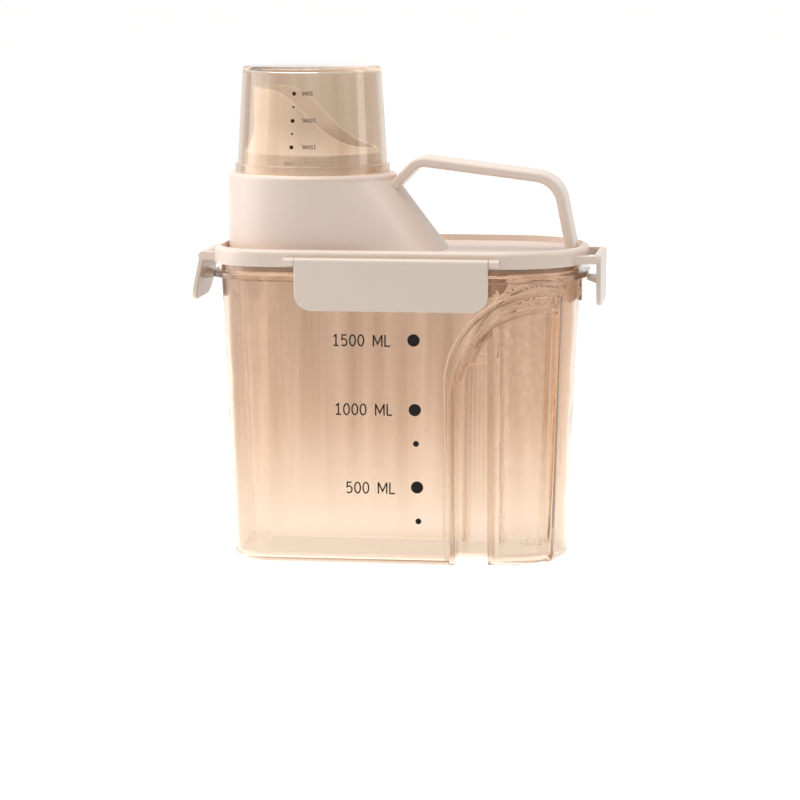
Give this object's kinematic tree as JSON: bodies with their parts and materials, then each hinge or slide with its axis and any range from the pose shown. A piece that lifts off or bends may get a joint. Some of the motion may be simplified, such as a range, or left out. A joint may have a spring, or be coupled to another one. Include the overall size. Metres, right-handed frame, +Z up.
{
  "type": "pet food storage container",
  "caption": "Clear rounded box with a clip-on lid, sloped pouring neck, strap handle and a measuring cup that covers the spout.",
  "frame": {"origin": "centre of the box's base, on the surface it stands on", "axes": "+Z up, +X towards the end where the handle meets the deck, -Y out of the front with the printed scale"},
  "size_m": [0.2094, 0.1128, 0.25],
  "materials": {
    "clear_box": "clear, slightly warm moulded plastic",
    "clear_cup": "clear, slightly warm moulded plastic",
    "beige_plastic": "satin warm beige moulded plastic",
    "silicone": "soft translucent silicone"
  },
  "bodies": {
    "box": {"container": "clear_box"},
    "lid": {"lid": "beige_plastic", "lid_gasket": "silicone", "carry_handle": "beige_plastic", "spout": "beige_plastic"},
    "cup": {"measuring_cup": "clear_cup"},
    "front_latch": {"latch_front": "beige_plastic"},
    "back_latch": {"latch_back": "beige_plastic"},
    "right_latch": {"latch_right": "beige_plastic"},
    "left_latch": {"latch_left": "beige_plastic"}
  },
  "joints": [
    {"name": "lid_lift", "type": "slide", "parent": "box", "child": "lid", "axis": [0, 0, 1], "range_m": [0, 0.011]},
    {"name": "cup_lift", "type": "slide", "parent": "lid", "child": "cup", "axis": [0, 0, 1], "range_m": [0, 0.05]},
    {"name": "front_latch_hinge", "type": "hinge", "parent": "lid", "child": "front_latch", "pos_m": [0, -0.0542, 0.1544], "axis": [-1, 0, 0], "range_deg": [0, 110]},
    {"name": "back_latch_hinge", "type": "hinge", "parent": "lid", "child": "back_latch", "pos_m": [0, 0.0542, 0.1544], "axis": [1, 0, 0], "range_deg": [0, 110]},
    {"name": "right_latch_hinge", "type": "hinge", "parent": "lid", "child": "right_latch", "pos_m": [0.1, 0, 0.1544], "axis": [0, -1, 0], "range_deg": [0, 110]},
    {"name": "left_latch_hinge", "type": "hinge", "parent": "lid", "child": "left_latch", "pos_m": [-0.1, 0, 0.1544], "axis": [0, 1, 0], "range_deg": [0, 98]}
  ],
  "couplings": [
    {"joint": "front_latch_hinge", "follows": "lid_lift", "rad_per_m": 174.53},
    {"joint": "back_latch_hinge", "follows": "lid_lift", "rad_per_m": 174.53},
    {"joint": "right_latch_hinge", "follows": "lid_lift", "rad_per_m": 174.53},
    {"joint": "left_latch_hinge", "follows": "lid_lift", "rad_per_m": 155.49}
  ]
}
